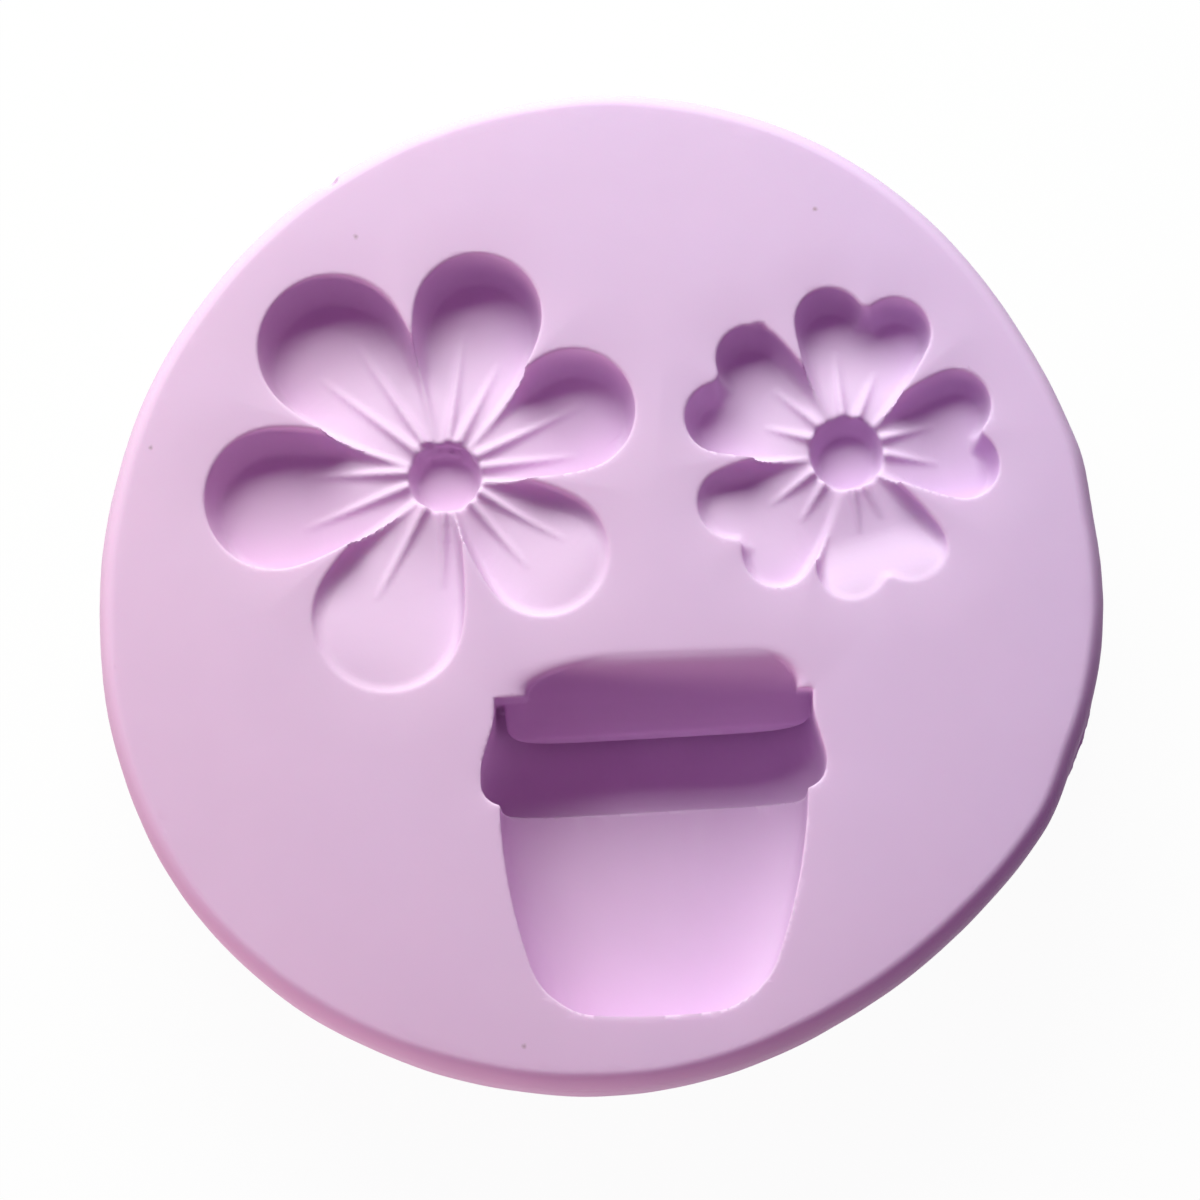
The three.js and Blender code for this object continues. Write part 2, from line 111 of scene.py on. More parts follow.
class Tree:
    """A node tree that is written as Python expressions."""

    def __init__(self, nodes: bpy.types.NodeTree) -> None:
        """Wraps a tree of any kind."""
        self.nodes = nodes

    def add(
        self,
        kind: str,
        settings: Optional[dict[str, Any]] = None,
        inputs: Optional[dict[Union[str, int], Term]] = None,
        output: Union[str, int] = 0,
    ) -> Wire:
        """Adds one node.

        Args:
            kind: The node's type name.
            settings: Properties of the node, set before its sockets.
            inputs: Values or wires for its sockets, by name or place.
            output: The socket that the returned wire stands for.

        Returns:
            The chosen output.
        """
        node = self.nodes.nodes.new(kind)
        for name, value in (settings or {}).items():
            setattr(node, name, value)
        for name, value in (inputs or {}).items():
            self.feed(node.inputs[name], value)
        return Wire(self, node.outputs[output] if len(node.outputs) else node.inputs[0])

    def feed(self, socket: bpy.types.NodeSocket, value: Term) -> None:
        """Links a wire to a socket, or sets the socket's own value."""
        if isinstance(value, Wire):
            self.nodes.links.new(value.socket, socket)
        else:
            socket.default_value = value

    def math(self, operation: str, *terms: Term) -> Wire:
        """Adds a Math node, or a Vector Math node where a term is a vector."""
        kind = "ShaderNodeVectorMath" if any(self._is_vector(t) for t in terms) else "ShaderNodeMath"
        return self.add(kind, {"operation": operation}, dict(enumerate(terms)))

    @staticmethod
    def _is_vector(term: Term) -> bool:
        """Tells whether a term has three parts."""
        if isinstance(term, Wire):
            return term.socket.type == "VECTOR"
        return not isinstance(term, (int, float))

    def greatest(self, first: Term, second: Term, blend: float = 0.0) -> Wire:
        """The greater of two values, with a soft changeover where blend is above nought."""
        if blend > 0:
            return self.math("SMOOTH_MAX", first, second, blend)
        return self.math("MAXIMUM", first, second)

    def least(self, first: Term, second: Term, blend: float = 0.0) -> Wire:
        """The lesser of two values, with a soft changeover where blend is above nought."""
        if blend > 0:
            return self.math("SMOOTH_MIN", first, second, blend)
        return self.math("MINIMUM", first, second)

    def root(self, value: Wire) -> Wire:
        """Square root."""
        return self.math("SQRT", value)

    def hypotenuse(self, first: Wire, second: Wire) -> Wire:
        """Length of the long side over two short ones."""
        return self.root(first * first + second * second)

    def share(self, value: Wire, start: Term, end: Term, smooth: bool = False) -> Wire:
        """How far a value has gone from start to end, kept between 0 and 1.

        Args:
            value: The value that is measured.
            start: Where the share is 0.
            end: Where the share is 1.
            smooth: Whether it eases in and out.

        Returns:
            The share.
        """
        kind = "SMOOTHSTEP" if smooth else "LINEAR"
        inputs = {"Value": value, "From Min": start, "From Max": end}
        return self.add("ShaderNodeMapRange", {"interpolation_type": kind, "clamp": True}, inputs)

    def bell(self, value: Wire, width: Term) -> Wire:
        """Bell curve of height 1 about nought."""
        scaled = value / width
        return self.math("EXPONENT", -(scaled * scaled))

    def noise(self, at: Wire, size: float, detail: float = 2.0, rough: float = 0.5) -> Wire:
        """Smooth noise about nought, from -0.5 to 0.5 or so.

        Args:
            at: Where it is read.
            size: The size of its lumps, in the unit of the place.
            detail: How many finer layers it has.
            rough: How strong those are.

        Returns:
            The noise.
        """
        inputs = {"Vector": at, "Scale": 1.0 / size, "Detail": detail, "Roughness": rough}
        return self.add("ShaderNodeTexNoise", {"noise_dimensions": "3D"}, inputs) - 0.5

    def rounded_corner(self, first: Wire, second: Wire, radius: float) -> Wire:
        """Distance from the inside of a corner between two walls, rounded by a radius."""
        a, b = first + radius, second + radius
        outside = self.hypotenuse(self.greatest(a, 0.0), self.greatest(b, 0.0))
        inside = self.least(self.greatest(a, b), 0.0)
        return outside + inside - radius


@dataclass
class Spot:
    """A place in the casting: millimetres across, up the face and below the face."""

    x: Wire
    y: Wire
    below: Wire
    at: Wire


@dataclass
class Vein:
    """One raised vein: where it points and how far from the flower's middle it goes."""

    towards: float
    reach: float


@dataclass
class Petal:
    """One petal recess: where it points, its sizes, and the shares of its depth at the neck and the tip."""

    towards: float
    reach: float
    width: float
    depth: float = 2.0
    neck: float = 1.0
    tip: float = 1.0
    run: float = 0.9
    dip: float = 0.62
    veins: tuple[Vein, ...] = ()


def turned(x: Wire, y: Wire, towards: float) -> tuple[Wire, Wire]:
    """How far a place lies along a direction and across it."""
    angle = math.radians(towards)
    return x * math.cos(angle) + y * math.sin(angle), y * math.cos(angle) - x * math.sin(angle)


class Rule:
    """A formula kept as a node group, so that each use of it is one node."""

    def __init__(self, name: str, inputs: Sequence[str], formula: Callable[..., Wire]) -> None:
        """Builds the group.

        Args:
            name: The group's name.
            inputs: The names of its inputs.
            formula: Takes the group's tree and a wire for each input, and returns the result.
        """
        self.inputs = inputs
        self.group = bpy.data.node_groups.new(name, "GeometryNodeTree")
        for each in inputs:
            self.group.interface.new_socket(each, in_out="INPUT", socket_type="NodeSocketFloat")
        self.group.interface.new_socket("Result", in_out="OUTPUT", socket_type="NodeSocketFloat")
        tree = Tree(self.group)
        given = tree.add("NodeGroupInput")
        result = formula(tree, *(given.beside(each) for each in inputs))
        out = self.group.nodes.new("NodeGroupOutput")
        tree.feed(out.inputs["Result"], result)

    def use(self, tree: Tree, *values: Term) -> Wire:
        """Adds the group to a tree, with a value or wire for each input."""
        return tree.add("GeometryNodeGroup", {"node_tree": self.group}, dict(zip(self.inputs, values)))


@dataclass
class PetalRules:
    """How every petal is scooped: its outline, its bowl and its veins."""

    fullness: float = 0.7
    vein_fade: float = 0.8
    vein_lead_in: float = 0.5
    vein_full_after: float = 0.2
    vein_taper: float = 0.5

    def __post_init__(self) -> None:
        """Builds the three rules."""
        self.outline = Rule(
            "petal_outline", ("Along", "Across", "Reach", "Width", "Neck Width", "Neck At"), self._outline
        )
        self.bowl = Rule("petal_bowl", ("Plan", "Below", "Floor", "Run", "Section"), self._bowl)
        self.vein = Rule("petal_vein", ("Along", "Across", "Start", "Reach", "Height", "Width"), self._vein)

    def _outline(
        self, tree: Tree, along: Wire, across: Wire, reach: Wire, width: Wire, neck_width: Wire, neck_at: Wire
    ) -> Wire:
        """Distance to a petal's outline, drawn in at the neck, full in the side, round at the end."""
        half = width * 0.5
        widest = reach - half
        side = tree.share(along, neck_at, widest)
        ease = tree.root(self.fullness**2 + (1 - 2 * self.fullness) * side)
        left = 1 - (self.fullness - ease) / (2 * self.fullness - 1)
        breadth = half - (half - neck_width * 0.5) * left * left
        past = tree.greatest(along - widest, 0.0)
        return tree.greatest(tree.hypotenuse(past, across) - breadth, neck_at - along)

    def _bowl(self, tree: Tree, plan: Wire, below: Wire, floor: Wire, run: Wire, section: Wire) -> Wire:
        """Distance to a bowl with a flat floor, whose wall runs out to the outline in a curve."""
        aside = tree.greatest(plan + run, 0.0) / run
        deep = tree.greatest(below, 0.0) / floor
        return ((aside**section + deep**section) ** (1 / section) - 1) * run

    def _vein(
        self, tree: Tree, along: Wire, across: Wire, start: Wire, reach: Wire, height: Wire, width: Wire
    ) -> Wire:
        """Height of a vein above the floor, thick at the eye and fading towards its tip."""
        gone = tree.share(along, start, reach)
        begun = tree.share(along, start - self.vein_lead_in, start + self.vein_full_after, smooth=True)
        fade = (1 - gone) ** self.vein_fade * begun
        return tree.bell(across, width * (1 - self.vein_taper * gone)) * fade * height


@dataclass(frozen=True)
class Pit:
    """A small round pit that a bubble or a nick left in the face."""

    x: float
    y: float
    radius: float
    depth: float

    def hollow(self, tree: Tree, spot: Spot) -> Wire:
        """Distance to the pit's hollow."""
        away = tree.hypotenuse(spot.x - self.x, spot.y - self.y)
        return tree.hypotenuse(away, spot.below * (self.radius / self.depth)) - self.radius


@dataclass(frozen=True)
class Sag:
    """How far the face sinks at the edge of a hollow, and from how far off, in millimetres."""

    depth: float
    reach: float

    def towards(self, tree: Tree, solid: Wire, hollow: Wire) -> Wire:
        """The distance to a solid whose face sags towards a hollow's edge."""
        near = tree.share(hollow, self.reach, 0.0)
        return solid + near * near * self.depth


@dataclass
class Flower:
    """A flower recess: a round eye with scooped petals about it."""

    x: float
    y: float
    neck_width: float
    eye_width: float
    eye_depth: float
    petals: list[Petal]
    eye_ragged: float = 0.0
    ragged_size: float = 0.75
    rim_overlap: float = 1.2
    eye_run: float = 0.7
    lean_right: float = 0.12
    lean_down: float = 0.5
    section: float = 2.0
    vein_height: float = 0.42
    vein_width: float = 0.36
    ridge_blend: float = 0.35
    least_floor: float = 0.05

    def hollow(self, tree: Tree, spot: Spot, rules: PetalRules) -> Wire:
        """Distance to the flower's hollow, below nought inside it.

        Args:
            tree: The tree that the nodes go to.
            spot: The place that is measured.
            rules: The petal rules.

        Returns:
            The distance in millimetres.
        """
        x, y = spot.x - self.x, spot.y - self.y
        result = self.eye(tree, spot, rules, x, y)
        for petal in self.petals:
            result = tree.least(result, self.petal(tree, spot, rules, petal, x, y), self.ridge_blend)
        return result

    def eye(self, tree: Tree, spot: Spot, rules: PetalRules, x: Wire, y: Wire) -> Wire:
        """Distance to the round hollow in the middle."""
        radius = self.eye_width / 2
        plan = tree.hypotenuse(*self.leant(tree, spot, x, y, self.eye_depth)) - radius
        if self.eye_ragged:
            upper = tree.share(y, 0.0, radius, smooth=True)
            plan = plan + tree.noise(spot.at, self.ragged_size, 1.0) * upper * self.eye_ragged
        return rules.bowl.use(tree, plan, spot.below, self.eye_depth, self.eye_run, self.section)

    def petal(self, tree: Tree, spot: Spot, rules: PetalRules, petal: Petal, x: Wire, y: Wire) -> Wire:
        """Distance to one petal's hollow, with a flat floor, steep walls and a pair of veins.

        Args:
            tree: The tree that the nodes go to.
            spot: The place that is measured.
            rules: The petal rules.
            petal: Its direction, sizes and veins.
            x: Millimetres across from the flower's middle.
            y: Millimetres up from the flower's middle.

        Returns:
            The distance in millimetres.
        """
        along, _ = turned(x, y, petal.towards)
        dip = petal.dip * petal.reach
        sunk = petal.neck + (1 - petal.neck) * tree.share(along, self.neck_at, dip, smooth=True)
        floor = petal.depth * (sunk - (1 - petal.tip) * tree.share(along, dip, petal.reach, smooth=True))
        for vein in petal.veins:
            placed = turned(x, y, vein.towards)
            sizes = (self.neck_at, vein.reach, self.vein_height, self.vein_width)
            floor = floor - rules.vein.use(tree, *placed, *sizes)
        floor = tree.greatest(floor, self.least_floor)
        plan = self.plan(tree, rules, petal, *self.leant(tree, spot, x, y, petal.depth))
        return rules.bowl.use(tree, plan, spot.below, floor, petal.run, self.section)

    def leant(self, tree: Tree, spot: Spot, x: Wire, y: Wire, depth: float) -> tuple[Wire, Wire]:
        """A place moved back by as much as the walls, pressed in aslant, lean at its depth."""
        share = tree.share(spot.below, 0.0, depth)
        return x - self.lean_right * share, y + self.lean_down * share

    @property
    def neck_at(self) -> float:
        """How far from the middle the petals begin."""
        return self.eye_width / 2 - self.rim_overlap

    def plan(self, tree: Tree, rules: PetalRules, petal: Petal, x: Wire, y: Wire) -> Wire:
        """Distance to one petal's outline, seen from above."""
        sizes = (petal.reach, petal.width, self.neck_width, self.neck_at)
        return rules.outline.use(tree, *turned(x, y, petal.towards), *sizes)


@dataclass
class NotchedFlower(Flower):
    """A flower recess whose petals end in two lobes with a notch between them."""

    lobe_width: float = 4.3
    lobe_spread: float = 30.0
    notch: float = 1.15
    lobe_blend: float = 0.5

    def plan(self, tree: Tree, rules: PetalRules, petal: Petal, x: Wire, y: Wire) -> Wire:
        """Distance to a heart-shaped outline: a middle and two lobes."""
        result = super().plan(tree, rules, Petal(petal.towards, petal.reach - self.notch, petal.width), x, y)
        for side in (-0.5, 0.5):
            lobe = Petal(petal.towards + side * self.lobe_spread, petal.reach, self.lobe_width)
            result = tree.least(result, super().plan(tree, rules, lobe, x, y), self.lobe_blend)
        return result


@dataclass
class FlowerPot:
    """The flower-pot recess, lying on its side, with the tongue that casts the pot's hollow."""

    x: float = 3.3
    mouth_y: float = -7.47
    length: float = 19.3
    depth: float = 8.2
    body_depth: float = 7.0
    skew: float = 2.0
    mouth_width: float = 19.3
    rim_width: float = 20.9
    rim_length: float = 6.3
    rim_tilt: float = 1.3
    rim_corner: float = 1.7
    body_width: float = 18.6
    foot_width: float = 12.3
    foot_corner: float = 2.6
    belly: float = 0.7
    section: float = 5.0
    fillet: float = 0.6
    foot_lean: float = 0.5
    side_lean: float = 0.35
    tongue_width: float = 18.7
    tongue_aside: float = 0.35
    tongue_length: float = 1.8
    tongue_depth: float = 4.5
    tongue_corner: float = 0.8
    chute_setback: float = 2.1
    chute_width: float = 16.2
    chute_aside: float = 0.5
    chute_left_corner: float = 6.5
    chute_right_corner: float = 2.6
    chute_corner_rise: float = 1.9
    chute_lip: float = 0.9
    chute_overlap: float = 1.0
    foot_bow: float = 0.012
    widen_from: float = 0.8
    shoulder_blend: float = 0.1
    mouth_blend: float = 0.3
    tongue_blend: float = 0.3
    slot_blend: float = 0.15
    lip: float = 0.16
    sag: Sag = field(default_factory=lambda: Sag(0.1, 5.0))

    def carve(self, tree: Tree, spot: Spot, solid: Wire) -> Wire:
        """Cuts the pot's hollow and the chute out of a solid.

        Args:
            tree: The tree that the nodes go to.
            spot: The place that is measured.
            solid: Distance to the solid.

        Returns:
            Distance to the solid that is left.
        """
        x = spot.x - self.x
        down = self.mouth_y - spot.y + x * math.tan(math.radians(self.skew))
        slanted = down + x * math.tan(math.radians(self.rim_tilt))
        deep = tree.greatest(spot.below, 0.0)
        rim, body = self.rim(tree, deep, x, down, slanted), self.body(tree, deep, x, down)
        jar = tree.least(rim, body, self.shoulder_blend)
        jar = tree.greatest(jar, -down, self.mouth_blend)
        fall = self.tongue_depth / (self.chute_setback + self.tongue_length)
        above = ((down + self.chute_setback) * fall - spot.below) / math.hypot(1.0, fall)
        tongue_floor = self.depth * self.tongue_width / self.rim_width
        inside = self.section_of(x - self.tongue_aside, deep, self.tongue_width / 2, tongue_floor)
        plug = tree.rounded_corner(inside, slanted - self.tongue_length, self.tongue_corner)
        tongue = tree.greatest(plug, above, self.tongue_blend)
        jar = tree.greatest(jar, -tongue, self.slot_blend)
        chute = tree.greatest(self.chute(tree, x - self.chute_aside, down), -above)
        solid = self.sag.towards(tree, solid, jar)
        return tree.greatest(tree.greatest(solid, -chute, self.chute_lip), -jar, self.lip)

    def section_of(self, x: Wire, deep: Wire, half: Term, floor: float) -> Wire:
        """Distance to a section that is half of a squarish ellipse, of a given half width and depth."""
        square = (abs(x) / half) ** self.section + (deep / floor) ** self.section
        return (square ** (1 / self.section) - 1) * half

    def rim(self, tree: Tree, deep: Wire, x: Wire, down: Wire, slanted: Wire) -> Wire:
        """Distance to the pot's thick rim, which widens from the mouth."""
        widen = tree.share(down, self.widen_from, self.rim_length - self.rim_corner, smooth=True)
        half = self.mouth_width / 2 + (self.rim_width - self.mouth_width) / 2 * widen
        plan = tree.rounded_corner(abs(x) - half, slanted - self.rim_length, self.rim_corner)
        return tree.greatest(self.section_of(x, deep, half, self.depth), plan, self.fillet)

    def body(self, tree: Tree, deep: Wire, x: Wire, down: Wire) -> Wire:
        """Distance to the pot's tapered body, with its level floor, its belly and its rounded foot."""
        gone = tree.share(down, self.rim_length, self.length)
        half = self.body_width / 2 - (self.body_width - self.foot_width) / 2 * gone
        half = half + 4 * self.belly * gone * (1 - gone)
        sunk = tree.share(deep, 0.0, self.body_depth)
        end = down - self.length + self.foot_bow * x * x - self.foot_lean * sunk
        plan = tree.rounded_corner(abs(x) - half, end, self.foot_corner)
        leant = x - self.side_lean * sunk
        return tree.greatest(self.section_of(leant, deep, half, self.body_depth), plan, self.fillet)

    def chute(self, tree: Tree, x: Wire, down: Wire) -> Wire:
        """Distance to the arched outline of the chute above the tongue, seen from above."""
        left = tree.math("LESS_THAN", x, 0.0)
        corner = self.chute_right_corner + (self.chute_left_corner - self.chute_right_corner) * left
        aside = (abs(x) - self.chute_width / 2 + corner) / corner
        behind = (-down - self.chute_setback + self.chute_corner_rise) / self.chute_corner_rise
        arch = tree.hypotenuse(tree.greatest(aside, 0.0), tree.greatest(behind, 0.0))
        plan = (arch - 1) * self.chute_corner_rise
        return tree.greatest(plan, down - self.chute_overlap)


@dataclass
class Swell:
    """One way in which the outline is out of round: how often, how much in millimetres, and where."""

    count: int
    swell: float
    towards: float


@dataclass
class Lump:
    """The pressed lump of silicone without its recesses."""

    radius: float = 30.53
    thickness: float = 13.0
    crown: float = 0.5
    face_edge_inward: float = 1.1
    face_edge_down: float = 2.2
    face_edge_down_more: float = 0.3
    face_edge_towards: float = -65.0
    base_edge_inward: float = 2.6
    base_edge_up: float = 8.5
    swells: list[Swell] = field(
        default_factory=lambda: [
            Swell(1, 0.75, -86), Swell(2, 0.335, 45), Swell(3, 0.34, -16.5), Swell(4, 0.145, -16),
            Swell(5, 0.145, -7.5), Swell(6, 0.055, -15),
        ]
    )
    wobble: float = 0.25
    wobble_size: float = 9.0
    ledge_reach: float = -0.05
    ledge_root: float = 2.0
    ledge_step: float = 0.45
    ledge_height: float = 3.4
    ledge_towards: float = -7.0
    ledge_half_turn: float = 23.0
    ledge_full_share: float = 0.55
    ledge_blend: float = 0.2
    ledge_corner: float = 0.5
    ledge_ragged_out: float = 0.5
    ledge_ragged_up: float = 0.6
    ledge_ragged_size: float = 1.6
    face_wave: float = 0.16
    face_wave_size: float = 16.0
    crown_power: int = 4

    def surface(self, tree: Tree, spot: Spot, radius: Wire, thickness: Wire) -> Wire:
        """Distance to the lump's surface, below nought inside it.

        Args:
            tree: The tree that the nodes go to.
            spot: The place that is measured.
            radius: The lump's mean radius.
            thickness: The lump's thickness.

        Returns:
            The distance in millimetres.
        """
        angle = tree.math("ARCTAN2", spot.y, spot.x)
        outline = radius
        for wave in self.swells:
            turn = (angle - math.radians(wave.towards)) * wave.count
            outline = outline + wave.swell * tree.math("COSINE", turn)
        away = tree.hypotenuse(spot.x, spot.y)
        out = away - outline - tree.noise(spot.at, self.wobble_size, 2.0) * self.wobble
        turn = tree.math("WRAP", angle - math.radians(self.ledge_towards), math.pi, -math.pi)
        half_turn = math.radians(self.ledge_half_turn)
        near_ledge = 1 - tree.share(abs(turn), self.ledge_full_share * half_turn, half_turn, smooth=True)
        wall = out + self.ledge_step * near_ledge
        height = thickness - spot.below
        sunk = spot.below + tree.noise(spot.at, self.face_wave_size, 1.0) * self.face_wave
        sunk = sunk - self.crown * tree.least(away / radius, 1.0) ** self.crown_power
        facing = tree.math("COSINE", angle - math.radians(self.face_edge_towards))
        fall = self.face_edge_down + self.face_edge_down_more * facing
        face = self.edge(tree, wall, sunk, self.face_edge_inward, fall) * fall
        base = self.edge(tree, wall, height, self.base_edge_inward, self.base_edge_up)
        body = tree.greatest(face, base * self.base_edge_inward)
        body = tree.least(body, self.ledge(tree, spot, out, near_ledge, height), self.ledge_blend)
        return tree.greatest(body, -height)

    def edge(self, tree: Tree, out: Wire, inside: Wire, inward: Term, rise: Term) -> Wire:
        """How far outside a disc with an elliptic edge a place is, as a share of the edge's size."""
        aside = tree.greatest(out + inward, 0.0) / inward
        up = tree.greatest(rise - inside, 0.0) / rise
        return tree.hypotenuse(aside, up) - 1

    def ledge(self, tree: Tree, spot: Spot, out: Wire, near: Wire, height: Wire) -> Wire:
        """Distance to the rough ledge of silicone squeezed out along the base on one side."""
        ragged = tree.noise(spot.at, self.ledge_ragged_size, 3.0, 0.6)
        length = self.ledge_reach + self.ledge_root
        edge = out - length * near + self.ledge_root - ragged * self.ledge_ragged_out
        top = height - self.ledge_height - ragged * self.ledge_ragged_up
        return tree.rounded_corner(edge, top, self.ledge_corner)


class GeometryInput(Enum):
    """The named inputs of the casting's node tree."""

    RADIUS = ("Radius", "NodeSocketFloat")
    THICKNESS = ("Thickness", "NodeSocketFloat")
    VOXEL = ("Voxel", "NodeSocketFloat")
    FINISH = ("Finish", "NodeSocketMaterial")


@dataclass(frozen=True)
class SiliconeFinish:
    """Matt lilac silicone."""

    name: str = "lilac_silicone"
    # pink is the colour under painted warm light at the lower left, blue the colour under painted cool light
    # at the upper right
    pink: Colour = (0.745, 0.49, 0.725)
    blue: Colour = (0.700, 0.485, 0.755)
    cloud: float = 25.0
    cloud_size: float = 9.0
    # where the painted warm-to-cool light slant begins and ends, in millimetres
    pink_to: float = -28.0
    blue_from: float = 26.0
    upward: float = 0.4
    mottle: float = 0.05
    mottle_size: float = 5.0
    speck_colour: Colour = (0.45, 0.30, 0.40)
    specks: tuple[tuple[float, float], ...] = ((-27.1, 7.6), (-14.8, 20.7), (-4.4, -28.6), (13.2, 22.4))
    speck_radius: float = 0.2
    speck_ragged: float = 0.25
    speck_ragged_size: float = 0.3
    roughness: float = 0.55
    roughness_change: float = 0.08
    roughness_size: float = 3.0
    specular: float = 0.12
    ior: float = 1.41
    subsurface: float = 0.1
    subsurface_radius: Colour = (1.0, 0.4, 0.7)
    subsurface_scale_mm: float = 2.0
    grain_size: float = 0.35
    grain_height: float = 0.04
    grain_strength: float = 0.12

    def material(self) -> bpy.types.Material:
        """Makes the material.

        Returns:
            A node material that reads Object coordinates.
        """
        material = bpy.data.materials.new(self.name)
        material.use_nodes = True
        material.node_tree.nodes.clear()
        tree = Tree(material.node_tree)
        place = tree.add("ShaderNodeTexCoord", output="Object")
        at = tree.math("MULTIPLY", place, PER_MM)
        colour = self.tint(tree, at)
        rough = self.roughness + self.roughness_change * tree.noise(at, self.roughness_size, 3.0)
        grain = tree.noise(at, self.grain_size, 3.0, 0.6)
        bump = tree.add(
            "ShaderNodeBump",
            None,
            {"Strength": self.grain_strength, "Distance": self.grain_height * MM, "Height": grain},
        )
        shader = tree.add(
            "ShaderNodeBsdfPrincipled",
            {"subsurface_method": "RANDOM_WALK"},
            {
                "Base Color": colour,
                "Roughness": rough,
                "Normal": bump,
                "Subsurface Weight": self.subsurface,
                "Subsurface Radius": self.subsurface_radius,
                "Subsurface Scale": self.subsurface_scale_mm * MM,
                "Specular IOR Level": self.specular,
                "IOR": self.ior,
            },
        )
        tree.add("ShaderNodeOutputMaterial", None, {"Surface": shader})
        return material

    def tint(self, tree: Tree, at: Wire) -> Wire:
        """Uneven lilac in random clouds, with painted light that makes it pinker towards the lower left and
        bluer towards the upper right, and a few specks of dirt.

        Args:
            tree: The tree that the nodes go to.
            at: The place in millimetres.

        Returns:
            The colour.
        """
        parts = tree.add("ShaderNodeSeparateXYZ", None, {0: at})
        x, y = parts.beside("X"), parts.beside("Y")
        cloud = self.cloud * tree.noise(at, self.cloud_size, 3.0)
        # painted light: the slant from the lower left to the upper right paints warm light pinker and cool
        # light bluer; the cloud is the silicone's own uneven tone
        aside = tree.share(x + self.upward * y + cloud, self.pink_to, self.blue_from)
        colour = self.mixed(tree, aside, self.pink, self.blue)
        shade = 1.0 + self.mottle * tree.noise(at, self.mottle_size, 3.0)
        colour = tree.add("ShaderNodeVectorMath", {"operation": "SCALE"}, {0: colour, "Scale": shade})
        for across, up in self.specks:
            ragged = self.speck_ragged * tree.noise(at, self.speck_ragged_size, 2.0)
            away = tree.hypotenuse(x - across, y - up) + ragged
            colour = self.mixed(tree, tree.share(away, self.speck_radius, 0.0), colour, self.speck_colour)
        return colour

    @staticmethod
    def mixed(tree: Tree, share: Wire, first: Wire | Colour, second: Colour) -> Wire:
        """A colour between two others."""
        first = first if isinstance(first, Wire) else (*first, 1.0)
        inputs = {0: share, 6: first, 7: (*second, 1.0)}
        return tree.add("ShaderNodeMix", {"data_type": "RGBA"}, inputs, output=2)


